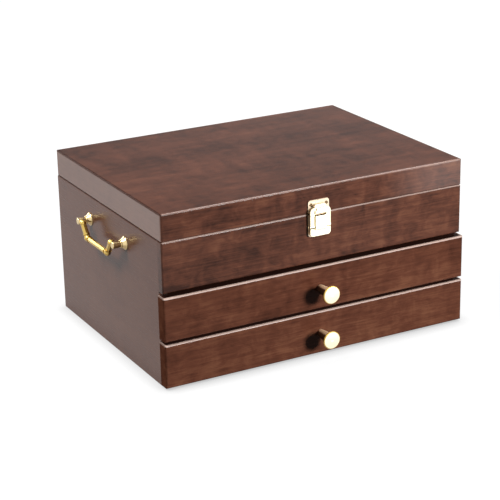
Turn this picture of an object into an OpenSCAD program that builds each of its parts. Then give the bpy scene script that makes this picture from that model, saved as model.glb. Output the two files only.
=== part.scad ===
// Silverware chest: a hinged lid over a racked tray, two drawers below it,
// a bail handle on each side and a draw latch at the front.
// Millimetres. The front faces -Y, +X is to the right and the chest stands on z = 0.

/* [Case] */
// Width across the side panels
case_w = 375.5; // [320:0.5:450]
// Depth from the upper front panel's face to the back
case_d = 278; // [240:1:340]
// Thickness of the side panels
side_t = 10; // [8:0.5:14]
// Thickness of the back panel
back_t = 8; // [8:0.5:12]
// Thickness of the upper front panel
front_panel_t = 10; // [8:0.5:14]
// Thickness of the base panel
base_t = 6; // [4:0.5:10]
// Thickness of the shelf between the drawers
shelf_t = 5; // [4:0.5:8]
// Thickness of the tray floor
tray_floor_t = 5; // [4:0.5:8]
// Height of each drawer bay
bay_h = 48; // [40:0.5:60]
// Depth of the tray from its floor to the case rim
tray_h = 53; // [46:0.5:75]
// How far panels are let into the sides
dado = 4; // [2:0.5:5]
// Radius of the eased edges on the outer woodwork
edge_r = 2; // [0.8:0.1:3]

/* [Lid] */
// Outside height of the lid
lid_h = 30.2; // [26:0.2:45]
// Thickness of the lid's top and rails
lid_t = 10; // [8:0.5:12]
// Gap between the lid and the case rim
lid_gap = 0.4; // [0.3:0.1:1]
// Radius of the eased lower edges of the lid
lid_lower_r = 0.8; // [0.4:0.1:1.5]
// Thickness of the padded lining under the lid
lid_liner_t = 4; // [2:0.5:8]

/* [Tray] */
// Thickness of the felt on the tray floor and in the drawers
felt_t = 2; // [1:0.5:4]
// Gap round a felt lining
felt_gap = 0.4; // [0.2:0.1:1]
// Height of a flatware rack
rack_h = 30; // [24:1:40]
// Thickness of a flatware rack
rack_t = 14; // [10:0.5:20]
// Distance from the middle of the tray to each rack
rack_y = 72; // [45:1:90]
// Number of notches in a rack
notch_count = 6; // [4:1:8]
// Width of a notch
notch_w = 36; // [24:1:38]
// Depth of a notch
notch_h = 19; // [12:0.5:20]
// Radius at the foot of a notch
notch_r = 7; // [2:0.5:9]
// Radius at the top of a rack's teeth
tooth_r = 2.5; // [0.5:0.5:2.5]

/* [Drawers] */
// Thickness of a drawer front
drawer_front_t = 14; // [12:0.5:18]
// Gap between a drawer front and the front above it
front_gap = 3.5; // [2:0.1:5]
// Height of the lower drawer front above the table
front_lift = 2; // [1:0.1:3.5]
// How far a drawer front passes the case on each side
front_overhang = 1.5; // [0:0.1:4]
// Gap between a closed drawer front and the case
seat_gap = 0.3; // [0.2:0.1:0.6]
// Thickness of a drawer's sides and back
drawer_wall_t = 6; // [5:0.5:9]
// Thickness of a drawer's bottom
drawer_bottom_t = 3; // [2:0.5:5]
// Height of a drawer's bottom above the lower edges of its sides
drawer_bottom_lift = 4; // [3:0.5:6]
// Depth of the grooves in a drawer's walls
groove = 3; // [2:0.5:4]
// Sliding gap at each side of a drawer
drawer_side_gap = 0.75; // [0.4:0.05:1]
// Sliding gap under a drawer
drawer_under_gap = 0.4; // [0.2:0.1:0.8]
// Space above a drawer's sides
drawer_top_gap = 7.6; // [6.5:0.1:12]
// Space above a drawer's back
drawer_back_top_gap = 1.5; // [1:0.1:2]
// Space behind a closed drawer
drawer_rear_gap = 4; // [2:0.5:10]
// Distance that a drawer pulls out
drawer_travel = 200; // [120:1:210]
// Height of the strip that stops a drawer's back
stop_h = 4; // [3:0.5:5]
// Depth of the stop strip
stop_d = 10; // [6:0.5:16]
// Length of the stop strip
stop_w = 120; // [60:1:200]
// Gap left at the stop strip when a drawer is fully out
stop_gap = 0.5; // [0.3:0.1:1]
// Thickness of a drawer's dividers
divider_t = 5; // [3:0.5:8]
// Height of a drawer's dividers
divider_h = 24; // [16:0.5:28]
// Distance from the middle of a drawer to each divider
divider_x = 60; // [40:1:100]

/* [Knobs] */
// Diameter of a knob's face
knob_d = 20.5; // [17:0.5:26]
// How far a knob stands out from its drawer front
knob_len = 25.5; // [22:0.5:32]
// How far a knob sits below the middle of its drawer front
knob_drop = 1; // [0:0.5:6]
// Diameter of a knob's stem at the drawer front
knob_stem_d = 9; // [8:0.5:11]
// Diameter of a knob's stem under its face
knob_neck_d = 13.5; // [11.5:0.5:16]
// Thickness of a knob's rim
knob_rim_t = 2.4; // [1.8:0.1:4]
// Rise of a knob's face above its rim
knob_dome = 0.8; // [0.4:0.1:1.5]
// Diameter of the screws in the knobs and handle posts
machine_screw_d = 4; // [3:0.5:4.5]
// Length of those screws inside a knob
machine_screw_grip = 6.5; // [4:0.5:6.5]
// Diameter of those screws' heads
machine_head_d = 8; // [6.5:0.5:9]
// Height of those screws' heads
machine_head_h = 2.4; // [1.6:0.2:3]

/* [Handles] */
// Distance between a handle's posts
handle_spacing = 94; // [80:1:110]
// Distance from the case rim down to the posts
handle_drop = 28; // [24:0.5:34]
// Diameter of a post's rosette
rosette_d = 15; // [13:0.5:20]
// Height of a rosette's cone
rosette_t = 4.6; // [3.6:0.1:5.4]
// Thickness of a rosette's rim
rosette_rim_t = 1.2; // [0.8:0.1:1.6]
// Diameter of a post's neck
post_d = 7; // [6:0.2:7.2]
// Distance from the panel to the bail's axis
post_len = 12.5; // [12:0.5:18]
// Diameter of a post's head
post_head_d = 7.8; // [7.4:0.2:10]
// Length of a post's head on each side of the bail's axis
post_head_l = 3; // [2.6:0.1:4]
// Diameter of the ring on a post
post_ring_d = 9; // [8:0.2:11]
// Thickness of the ring on a post
post_ring_t = 1.4; // [1:0.1:1.8]
// Thickness of the bail across its flats
bail_t = 6; // [5:0.2:7]
// Distance from the bail's axis down to its bar
bail_drop = 14.5; // [13:0.5:17]
// Length of the bail's bar between the bends
bail_bar_l = 54; // [44:1:58]
// Diameter of the bail's pivot pins
bail_pin_d = 3; // [2.4:0.2:3.6]
// Length of the pivot pins
bail_pin_l = 6; // [4:0.5:6.5]
// Gap between the bail's ends and the post heads
bail_end_gap = 0.3; // [0.2:0.1:0.6]

/* [Hinges] */
// Distance from the middle of the chest to each hinge
hinge_x = 100; // [60:1:120]
// Length of a hinge
hinge_l = 38; // [30:1:50]
// Thickness of a hinge leaf
leaf_t = 1.2; // [0.9:0.1:1.6]
// Depth of a hinge leaf over the wood
leaf_bite = 6.4; // [5.6:0.1:7]
// Gap between the closed leaves
leaf_gap = 0.2; // [0.1:0.05:0.3]
// Diameter of a hinge barrel
barrel_d = 5; // [4.4:0.2:6]
// Diameter of a hinge pin
hinge_pin_d = 2.4; // [1.8:0.1:2.8]
// Gap between a hinge barrel and the back of the chest
barrel_gap = 0.2; // [0.15:0.05:0.5]
// Reach of the stop lips from the hinge axis
stop_lip_r = 6.2; // [5.5:0.1:8]
// Thickness of the stop lips
stop_lip_t = 1.2; // [0.8:0.1:1.4]
// Angle at which the stop lips hold the lid
lid_open = 100; // [90:1:105]

/* [Latch] */
// Width of the latch's plates
latch_w = 26; // [22:0.5:30]
// Thickness of the latch's plates
latch_plate_t = 1.2; // [0.9:0.1:1.4]
// Height of the catch plate on the lid
catch_h = 14; // [13:0.1:16]
// Height of the base plate on the case
latch_base_h = 25; // [24.6:0.2:30]
// Gap from the seam to each of those plates
latch_seam_gap = 1; // [0.6:0.1:1.4]
// Radius of the plates' corners
latch_corner_r = 3; // [1.5:0.1:4]
// Width of the catch's nose and the lever's raised middle
nose_w = 14; // [13:0.2:14.6]
// Top of the wide foot of the nose above the seam
nose_foot_top = 4; // [3:0.1:5]
// Width of the nose's head above that foot
nose_head_w = 10.4; // [9:0.2:11]
// Top of the catch's nose above the seam
nose_top = 7; // [6.4:0.1:8]
// How far the catch's nose stands out from the chest
nose_out = 7; // [6.2:0.1:8]
// Distance from the seam down to the lever's pivot
lever_pivot_drop = 3; // [2.8:0.1:3.6]
// Distance from the seam down to the loop's pivot
loop_pivot_drop = 14; // [12.5:0.1:14.5]
// Distance from the chest's face to the loop's pivot
loop_out = 4.55; // [4.4:0.05:5]
// How far the lever's pivot stands in front of the loop's pull
over_centre = 0.3; // [0.2:0.05:0.5]
// Thickness of the loop and the lever's tab
loop_t = 1.5; // [1.1:0.1:1.7]
// Width of the loop and the lever's tab
loop_w = 25.2; // [23:0.2:28]
// Top of the loop's shoulders above the seam
shoulder_top = 7.5; // [6:0.1:8.5]
// Radius of the loop's shoulders
shoulder_r = 5.4; // [2:0.1:5.6]
// Height of the loop's bar over the nose
loop_bar_h = 3.3; // [2.4:0.1:4]
// Width of the ends of the loop's bar beside the nose
loop_bar_side = 1.4; // [1:0.1:1.8]
// Gap between the loop and the nose
loop_gap = 0.35; // [0.25:0.05:0.5]
// Distance from the seam down to the end of the lever
lever_end_drop = 24.7; // [23.5:0.1:26]
// Diameter of the latch's pins
latch_pin_d = 1.4; // [1.2:0.1:1.6]
// Diameter of the loop's eyes
loop_eye_d = 2.6; // [2.4:0.1:3.2]
// Thickness of the lever's front and walls
lever_t = 1; // [0.8:0.1:1.2]

/* [Screws] */
// Diameter of the wood screws
wood_screw_d = 2; // [1.6:0.1:2.2]
// Diameter of the wood screws' heads
wood_head_d = 4; // [3.4:0.1:4.2]
// Length of the wood screws below their heads
wood_screw_l = 7.5; // [5:0.5:7.5]
// Height of a round screw head
round_head_h = 1.3; // [0.9:0.1:1.4]
// Radial room round a screw in its hole
screw_room = 0.05; // [0.02:0.01:0.1]
// Radial running clearance of pins
pin_room = 0.05; // [0.03:0.01:0.09]

/* [Hidden] */
$fn = 64;

// Colours
wood_color = [0.38, 0.24, 0.18];
inner_wood_color = [0.52, 0.36, 0.26];
brass_color = [0.86, 0.74, 0.46];
felt_color = [0.27, 0.15, 0.12];

// How far a cutter reaches past the face it cuts
over = 1;

// Case levels and faces
half_w = case_w / 2;
half_d = case_d / 2;
inner_half_w = half_w - side_t;
side_front_y = -half_d + front_panel_t;
back_inner_y = half_d - back_t;
shelf_z = base_t + bay_h;
drawer_pitch = bay_h + shelf_t;
tray_floor_z = base_t + drawer_pitch + bay_h;
tray_z = tray_floor_z + tray_floor_t;
case_h = tray_z + tray_h;
handle_z = case_h - handle_drop;

// Lid levels
lid_z = case_h + lid_gap;
lid_top_z = lid_z + lid_h;
lid_inner_z = lid_top_z - lid_t;
seam_z = case_h + lid_gap / 2;

// Drawer faces; a drawer's own z = 0 is the floor of its bay
front_back_y = side_front_y - seat_gap;
front_face_y = front_back_y - drawer_front_t;
front_h = drawer_pitch - front_gap;
front_low_z = front_lift - base_t;
front_half_w = half_w + front_overhang;
upper_front_z = front_lift + 2 * drawer_pitch;
drawer_half_w = inner_half_w - drawer_side_gap;
drawer_inner_half_w = drawer_half_w - drawer_wall_t;
drawer_rear_y = back_inner_y - drawer_rear_gap;
drawer_back_y = drawer_rear_y - drawer_wall_t;
drawer_side_top = bay_h - drawer_top_gap;
drawer_floor_z = drawer_under_gap + drawer_bottom_lift;
drawer_inner_z = drawer_floor_z + drawer_bottom_t;
knob_z = front_low_z + front_h / 2 - knob_drop;
stop_y = drawer_back_y - drawer_travel - stop_gap;

// Hinge axis and knuckles
barrel_r = barrel_d / 2;
hinge_y = half_d + barrel_r + barrel_gap;
knuckle_room = 0.3;
middle_knuckle = hinge_l / 3;
leaf_depth = hinge_y - half_d + leaf_bite;
hinge_screw_share = 0.3;
hinge_screw_x = hinge_l * hinge_screw_share;
hinge_screw_y = -leaf_depth + leaf_bite / 2;
lip_inner_r = barrel_r + knuckle_room;
lip_spare_deg = 1.5;
lip_deg = (lid_open + lip_spare_deg) / 2 + asin(stop_lip_t / 2 / lip_inner_r);

// Latch places, in the latch's own frame: x right, y up from the seam, z out from the chest
lever_out = loop_out + over_centre;
nose_half_w = nose_w / 2;
nose_head_half_w = nose_head_w / 2;
window_half_w = nose_half_w + loop_gap;
window_head_half_w = nose_head_half_w + loop_gap;
loop_half_w = loop_w / 2;
loop_eye_r = loop_eye_d / 2;
latch_pin_r = latch_pin_d / 2;
bar_low = nose_top + loop_gap;
nose_low = 0.6;
nose_ease = 0.8;
ear_t = 1.2;
ear_r = 1.25;
ear_side_gap = 1.3;
lever_front_low = lever_out + ear_r + knuckle_room;
lever_front_high = lever_front_low + lever_t;
lever_top_rise = 1.6;
lever_top_drop = lever_pivot_drop - lever_top_rise;
lever_step_gap = 2.2;
lever_step_drop = loop_pivot_drop + loop_eye_r + lever_step_gap;
tab_gap = 0.5;
tab_top_drop = loop_pivot_drop + loop_eye_r + tab_gap;
tab_corner_r = 3.4;
wall_depth = 1;
wall_low = loop_out - wall_depth;
catch_screw_in = 3.4;
catch_screw_down = 5;
catch_screw_x = latch_w / 2 - catch_screw_in;
catch_screw_y = latch_seam_gap + catch_h - catch_screw_down;
base_screw_in = 3.7;
base_screw_up = 5;
base_screw_x = latch_w / 2 - base_screw_in;
base_screw_y = -latch_seam_gap - latch_base_h + base_screw_up;

// Handle places, in a handle's own frame: x along the case, y up, z out from the panel
post_head_r = post_head_d / 2;
post_ease = 0.8;
bail_end_x = handle_spacing / 2 - post_head_r - bail_end_gap;
bail_ball_swell = 0.9;
bail_ball_r = bail_t / 2 + bail_ball_swell;
bail_boss_shrink = 0.2;
bail_boss_r = bail_t / 2 - bail_boss_shrink;
bail_boss_l = 4.4;
bail_pin_r = bail_pin_d / 2;
collar_swell = 0.8;
collar_r = bail_t / 2 + collar_swell;
collar_t = 1.4;
facets = 8;
rosette_shoulder = 0.7;
post_web = 2;
handle_screw_reach = post_len - bail_pin_r - post_web;

// Roundings and recesses as shares of the thing they shape
knob_rim_share = 0.4;
recess_w_share = 0.16;
recess_l_share = 0.62;
recess_h_share = 0.14;

// Box between two opposite corners
module block(low, high) {
    translate(low) cube(high - low);
}

// Piece outside a rounded corner of radius r at the origin
module corner_cut(r) {
    difference() {
        translate([-over, -over]) square(r + over);
        translate([r, r]) circle(r);
    }
}

// Rectangle between two corners; radii run left low, right low, right high, left high
module eased_rect(low, high, radii) {
    corners = [low, [high.x, low.y], high, [low.x, high.y]];
    difference() {
        translate(low) square(high - low);
        for (i = [0 : 3])
            if (radii[i] > 0)
                translate(corners[i]) rotate(90 * i) corner_cut(radii[i]);
    }
}

// Extrude a (y, z) outline along X
module along_x(x0, x1) {
    translate([x0, 0, 0]) rotate([90, 0, 90]) linear_extrude(x1 - x0) children();
}

// Extrude an (x, z) outline along Y
module along_y(y0, y1) {
    translate([0, y1, 0]) rotate([90, 0, 0]) linear_extrude(y1 - y0) children();
}

// Extrude an (x, y) outline along Z
module along_z(z0, z1) {
    translate([0, 0, z0]) linear_extrude(z1 - z0) children();
}

// Rod along X at the origin
module rod_x(x0, x1, r) {
    translate([x0, 0, 0]) rotate([0, 90, 0]) cylinder(h = x1 - x0, r = r);
}

// Frame at the front seam: x right, y up, z out from the chest
module at_latch() {
    translate([0, -half_d, seam_z]) rotate([90, 0, 0]) children();
}

// Frame on a side panel, side -1 left or 1 right: y up, z out from the panel
module at_side(side) {
    translate([side * half_w, 0, handle_z]) rotate([90, 0, side * 90]) children();
}

// Frame of each post of a handle: z out from the panel, -x towards the handle's middle
module at_posts(side) {
    at_side(side)
        for (end = [0, 1])
            mirror([end, 0, 0]) translate([handle_spacing / 2, 0, 0]) children();
}

// Frame on the hinge axis at each hinge
module at_hinges() {
    for (side = [-1, 1])
        translate([side * hinge_x, hinge_y, seam_z]) children();
}

// Frame of a drawer, level 0 lower or 1 upper
module at_drawer(level) {
    translate([0, 0, base_t + level * drawer_pitch]) children();
}

// Cross recess in a screw head whose top is at z
module cross_recess(head_d, z) {
    recess_w = head_d * recess_w_share;
    recess_l = head_d * recess_l_share;
    recess_h = head_d * recess_h_share;
    for (turn = [0, 90])
        rotate(turn) translate([-recess_l / 2, -recess_w / 2, z - recess_h])
            cube([recess_l, recess_w, recess_h + over]);
}

// Round-headed wood screw standing on z = 0 with its shank below
module round_screw() {
    head_r = wood_head_d / 2;
    dome_r = (head_r * head_r + round_head_h * round_head_h) / (2 * round_head_h);
    difference() {
        union() {
            intersection() {
                cylinder(h = round_head_h, r = head_r);
                translate([0, 0, round_head_h - dome_r]) sphere(dome_r, $fn = 96);
            }
            translate([0, 0, -wood_screw_l]) cylinder(h = wood_screw_l + over / 4, d = wood_screw_d);
        }
        cross_recess(wood_head_d, round_head_h);
    }
}

// Hole for a wood screw's shank below z = 0
module screw_pilot() {
    translate([0, 0, -wood_screw_l - screw_room])
        cylinder(h = wood_screw_l + screw_room + over, r = wood_screw_d / 2 + screw_room);
}

// Countersunk wood screw with the top of its head at z = 0
module flat_screw() {
    head_h = (wood_head_d - wood_screw_d) / 2;
    difference() {
        union() {
            translate([0, 0, -head_h])
                cylinder(h = head_h, r1 = wood_screw_d / 2, r2 = wood_head_d / 2);
            translate([0, 0, -wood_screw_l]) cylinder(h = wood_screw_l - head_h / 2, d = wood_screw_d);
        }
        cross_recess(wood_head_d, 0);
    }
}

// Countersunk seat and clearance hole for that screw
module flat_screw_seat() {
    head_h = (wood_head_d - wood_screw_d) / 2;
    hole_r = wood_screw_d / 2 + screw_room;
    translate([0, 0, -head_h])
        cylinder(h = head_h + screw_room, r1 = hole_r, r2 = wood_head_d / 2 + 2 * screw_room);
    translate([0, 0, -wood_screw_l - screw_room]) cylinder(h = wood_screw_l, r = hole_r);
}

// Pan-headed machine screw: head below z = 0, shank up to length l
module machine_screw(l) {
    difference() {
        union() {
            translate([0, 0, -machine_head_h]) cylinder(h = machine_head_h, d = machine_head_d);
            cylinder(h = l, d = machine_screw_d);
        }
        rotate([180, 0, 0]) cross_recess(machine_head_d, machine_head_h);
    }
}

// Left side panel with housings for the panels that it carries
module side_panel() {
    color(wood_color)
    difference() {
        along_y(side_front_y, half_d)
            eased_rect([-half_w, 0], [-inner_half_w, case_h], [0, 0, 0, edge_r]);
        block([-inner_half_w - dado, side_front_y - over, -over],
              [-inner_half_w + over, half_d + over, base_t]);
        block([-inner_half_w - dado, side_front_y - over, shelf_z],
              [-inner_half_w + over, back_inner_y, shelf_z + shelf_t]);
        block([-inner_half_w - dado, side_front_y - over, tray_floor_z],
              [-inner_half_w + over, back_inner_y, tray_z]);
        block([-inner_half_w - dado, back_inner_y, -over],
              [-inner_half_w + over, half_d + over, case_h + over]);
        at_posts(-1) translate([0, 0, -side_t - over])
            cylinder(h = side_t + 2 * over, r = machine_screw_d / 2 + screw_room);
    }
}

module left_side_panel() {
    side_panel();
}

module right_side_panel() {
    mirror([1, 0, 0]) side_panel();
}

// Mortise and pilot holes for a hinge leaf let into an edge that faces the seam
module hinge_mortise(up) {
    at_hinges() mirror([0, 0, up]) {
        leaf_low = -leaf_gap / 2 - leaf_t;
        block([-hinge_l / 2, -leaf_depth, leaf_low], [hinge_l / 2, over, leaf_t]);
        for (end = [-1, 1])
            translate([end * hinge_screw_x, hinge_screw_y, -leaf_gap / 2]) flat_screw_seat();
    }
}

module back_panel() {
    color(wood_color)
    difference() {
        block([-inner_half_w - dado, back_inner_y, 0], [inner_half_w + dado, half_d, case_h]);
        hinge_mortise(0);
    }
}

module upper_front_panel() {
    color(wood_color)
    difference() {
        intersection() {
            along_x(-half_w, half_w)
                eased_rect([-half_d, upper_front_z], [side_front_y, case_h], [edge_r, 0, 0, edge_r]);
            along_y(-half_d, side_front_y)
                eased_rect([-half_w, upper_front_z], [half_w, case_h], [0, 0, edge_r, edge_r]);
            along_z(upper_front_z, case_h)
                eased_rect([-half_w, -half_d], [half_w, side_front_y], [edge_r, edge_r, 0, 0]);
        }
        at_latch() for (end = [-1, 1])
            translate([end * base_screw_x, base_screw_y, 0]) screw_pilot();
    }
}

module tray_floor() {
    color(inner_wood_color)
    block([-inner_half_w - dado, side_front_y, tray_floor_z],
          [inner_half_w + dado, back_inner_y, tray_z]);
}

module drawer_shelf() {
    color(inner_wood_color)
    block([-inner_half_w - dado, side_front_y, shelf_z],
          [inner_half_w + dado, back_inner_y, shelf_z + shelf_t]);
}

module base_panel() {
    color(inner_wood_color)
    block([-inner_half_w - dado, side_front_y, 0], [inner_half_w + dado, back_inner_y, base_t]);
}

// Strip over each bay that a drawer's taller back meets when it is fully out
module drawer_stops() {
    color(inner_wood_color)
    for (level = [0, 1])
        at_drawer(level)
            block([-stop_w / 2, stop_y - stop_d, bay_h - stop_h], [stop_w / 2, stop_y, bay_h]);
}

module tray_liner() {
    color(felt_color)
    block([-inner_half_w + felt_gap, side_front_y + felt_gap, tray_z],
          [inner_half_w - felt_gap, back_inner_y - felt_gap, tray_z + felt_t]);
}

// Comb-shaped bar that holds flatware in its notches
module rack(y) {
    low = tray_z + felt_t;
    high = low + rack_h;
    pitch = 2 * inner_half_w / notch_count;
    color(inner_wood_color)
    along_y(y - rack_t / 2, y + rack_t / 2)
        difference() {
            translate([-inner_half_w, low]) square([2 * inner_half_w, rack_h]);
            for (i = [0 : notch_count - 1])
                translate([-inner_half_w + (i + 0.5) * pitch, high])
                    union() {
                        eased_rect([-notch_w / 2, -notch_h], [notch_w / 2, over],
                                   [notch_r, notch_r, 0, 0]);
                        translate([notch_w / 2, 0]) rotate(270) corner_cut(tooth_r);
                        translate([-notch_w / 2, 0]) rotate(180) corner_cut(tooth_r);
                    }
        }
}

module front_rack() {
    rack(-rack_y);
}

module rear_rack() {
    rack(rack_y);
}

// One hinge leaf under the seam; the barrels at its ends, or the one in its middle, are its own
module hinge_leaf(own_middle) {
    half_l = hinge_l / 2;
    half_m = middle_knuckle / 2;
    own = own_middle ? [[-half_m, half_m]] : [[-half_l, -half_m], [half_m, half_l]];
    other = own_middle ? [[-half_l - over, -half_m], [half_m, half_l + over]] : [[-half_m, half_m]];
    bore_r = hinge_pin_d / 2 + (own_middle ? pin_room : screw_room);
    difference() {
        union() {
            block([-half_l, -leaf_depth, -leaf_gap / 2 - leaf_t], [half_l, 0, -leaf_gap / 2]);
            for (span = own)
                rod_x(span[0], span[1], barrel_r);
            rotate([-lip_deg, 0, 0])
                block([-half_l, 0, -stop_lip_t / 2], [half_l, stop_lip_r, stop_lip_t / 2]);
        }
        for (span = other)
            rod_x(span[0] - knuckle_room / 2, span[1] + knuckle_room / 2, lip_inner_r);
        rod_x(-half_l - over, half_l + over, bore_r);
        for (end = [-1, 1])
            translate([end * hinge_screw_x, hinge_screw_y, -leaf_gap / 2]) flat_screw_seat();
    }
}

module hinge_case_leaves() {
    color(brass_color) at_hinges() hinge_leaf(false);
}

module hinge_lid_leaves() {
    color(brass_color) at_hinges() mirror([0, 0, 1]) hinge_leaf(true);
}

module hinge_pins() {
    color(brass_color) at_hinges() rod_x(-hinge_l / 2, hinge_l / 2, hinge_pin_d / 2);
}

// Countersunk screws in the hinge leaves below or above the seam
module hinge_screws(up) {
    color(brass_color)
    at_hinges() mirror([0, 0, up])
        for (end = [-1, 1])
            translate([end * hinge_screw_x, hinge_screw_y, -leaf_gap / 2]) flat_screw();
}

module hinge_case_screws() {
    hinge_screws(0);
}

module hinge_lid_screws() {
    hinge_screws(1);
}

// Solid outline of the closed lid with its eased edges
module lid_body() {
    top = [lid_lower_r, lid_lower_r, edge_r, edge_r];
    round_all = [edge_r, edge_r, edge_r, edge_r];
    intersection() {
        along_x(-half_w, half_w) eased_rect([-half_d, lid_z], [half_d, lid_top_z], top);
        along_y(-half_d, half_d) eased_rect([-half_w, lid_z], [half_w, lid_top_z], top);
        along_z(lid_z, lid_top_z) eased_rect([-half_w, -half_d], [half_w, half_d], round_all);
    }
}

// Section of a rail with its upper edge mitred to the top; reach is the outer face
module rail_section(reach) {
    polygon([
        [-reach - over, lid_z - over], [-reach + lid_t, lid_z - over],
        [-reach + lid_t, lid_inner_z], [-reach - over, lid_top_z + over]
    ]);
}

// Plan of a rail mitred at both ends
module rail_plan(half_l, reach) {
    polygon([
        [-half_l - over, -reach - over], [half_l + over, -reach - over],
        [half_l - lid_t, -reach + lid_t], [-half_l + lid_t, -reach + lid_t]
    ]);
}

// Rail along X at the front of the lid
module long_rail() {
    intersection() {
        lid_body();
        along_x(-half_w - over, half_w + over) rail_section(half_d);
        along_z(lid_z - over, lid_top_z + over) rail_plan(half_w, half_d);
    }
}

// Rail along Y at the left of the lid
module short_rail() {
    intersection() {
        lid_body();
        along_y(-half_d - over, half_d + over) rail_section(half_w);
        along_z(lid_z - over, lid_top_z + over) rotate(-90) rail_plan(half_d, half_w);
    }
}

module lid_front_rail() {
    color(wood_color)
    difference() {
        long_rail();
        at_latch() for (end = [-1, 1])
            translate([end * catch_screw_x, catch_screw_y, 0]) screw_pilot();
    }
}

module lid_back_rail() {
    color(wood_color)
    difference() {
        mirror([0, 1, 0]) long_rail();
        hinge_mortise(1);
    }
}

module lid_left_rail() {
    color(wood_color) short_rail();
}

module lid_right_rail() {
    color(wood_color) mirror([1, 0, 0]) short_rail();
}

// Mitred section of the lid's top across a half width
module top_section(reach) {
    polygon([
        [-reach + lid_t, lid_inner_z], [reach - lid_t, lid_inner_z],
        [reach + over, lid_top_z + over], [-reach - over, lid_top_z + over]
    ]);
}

module lid_top() {
    color(wood_color)
    intersection() {
        lid_body();
        along_x(-half_w - over, half_w + over) top_section(half_d);
        along_y(-half_d - over, half_d + over) top_section(half_w);
    }
}

module lid_liner() {
    x = half_w - lid_t - felt_gap;
    y = half_d - lid_t - felt_gap;
    color(felt_color) block([-x, -y, lid_inner_z - lid_liner_t], [x, y, lid_inner_z]);
}

// Catch on the lid: a screwed plate with a nose that the loop drops over
module catch_plate() {
    r = latch_corner_r;
    color(brass_color)
    at_latch()
        difference() {
            union() {
                along_z(0, latch_plate_t)
                    eased_rect([-latch_w / 2, latch_seam_gap], [latch_w / 2, latch_seam_gap + catch_h],
                               [0, 0, r, r]);
                along_x(-nose_half_w, nose_half_w)
                    eased_rect([nose_low, latch_plate_t / 2], [nose_foot_top, nose_out],
                               [0, 0, nose_ease, nose_ease]);
                along_x(-nose_head_half_w, nose_head_half_w)
                    eased_rect([nose_low, latch_plate_t / 2], [nose_top, nose_out],
                               [0, 0, nose_ease, nose_ease]);
            }
            for (end = [-1, 1])
                translate([end * catch_screw_x, catch_screw_y, latch_plate_t]) screw_pilot();
        }
}

module catch_screws() {
    color(brass_color)
    at_latch() for (end = [-1, 1])
        translate([end * catch_screw_x, catch_screw_y, latch_plate_t]) round_screw();
}

// Base of the latch on the case, with two ears for the lever's pin
module latch_base() {
    r = latch_corner_r;
    ear_x = nose_half_w - lever_t - ear_side_gap - ear_t;
    low = -latch_seam_gap - latch_base_h;
    color(brass_color)
    at_latch()
        difference() {
            union() {
                along_z(0, latch_plate_t)
                    eased_rect([-latch_w / 2, low], [latch_w / 2, -latch_seam_gap], [r, r, 0, 0]);
                for (side = [0, 1])
                    mirror([side, 0, 0]) along_x(ear_x, ear_x + ear_t) {
                        translate([-lever_pivot_drop - ear_r, latch_plate_t / 2])
                            square([2 * ear_r, lever_out - latch_plate_t / 2]);
                        translate([-lever_pivot_drop, lever_out]) circle(ear_r);
                    }
            }
            translate([0, -lever_pivot_drop, lever_out])
                rod_x(-latch_w / 2, latch_w / 2, latch_pin_r + screw_room / 2);
            for (end = [-1, 1])
                translate([end * base_screw_x, base_screw_y, latch_plate_t]) screw_pilot();
        }
}

module latch_base_screws() {
    color(brass_color)
    at_latch() for (end = [-1, 1])
        translate([end * base_screw_x, base_screw_y, latch_plate_t]) round_screw();
}

module lever_pin() {
    color(brass_color)
    at_latch() translate([0, -lever_pivot_drop, lever_out])
        rod_x(-nose_half_w, nose_half_w, latch_pin_r);
}

// Lever: a raised channel over the base's ears, with a full-width tab below
module latch_lever() {
    tab_low = loop_out - loop_t / 2;
    color(brass_color)
    at_latch()
        difference() {
            union() {
                along_x(-nose_half_w, nose_half_w)
                    difference() {
                        eased_rect([-lever_step_drop, wall_low], [-lever_top_drop, lever_front_high],
                                   [0, 0, lever_t, lever_t]);
                        translate([-lever_step_drop + lever_t, wall_low - over])
                            square([lever_step_drop, lever_front_low - wall_low + over]);
                    }
                for (side = [0, 1])
                    mirror([side, 0, 0]) along_x(nose_half_w - lever_t, nose_half_w)
                        eased_rect([-lever_step_drop, wall_low], [-lever_top_drop, lever_front_high],
                                   [0, lever_t, lever_t, lever_t]);
                along_z(tab_low, tab_low + loop_t)
                    difference() {
                        eased_rect([-loop_half_w, -lever_end_drop], [loop_half_w, -tab_top_drop],
                                   [tab_corner_r, tab_corner_r, 0, 0]);
                        translate([-nose_half_w + lever_t, -lever_step_drop + lever_t / 2])
                            square([2 * (nose_half_w - lever_t), lever_step_drop]);
                    }
            }
            translate([0, -lever_pivot_drop, lever_out])
                rod_x(-latch_w, latch_w, latch_pin_r + pin_room);
            translate([0, -loop_pivot_drop, loop_out])
                rod_x(-latch_w, latch_w, latch_pin_r + screw_room / 2);
        }
}

module loop_pin() {
    color(brass_color)
    at_latch() translate([0, -loop_pivot_drop, loop_out])
        rod_x(-loop_half_w + loop_t / 2, loop_half_w - loop_t / 2, latch_pin_r);
}

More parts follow.
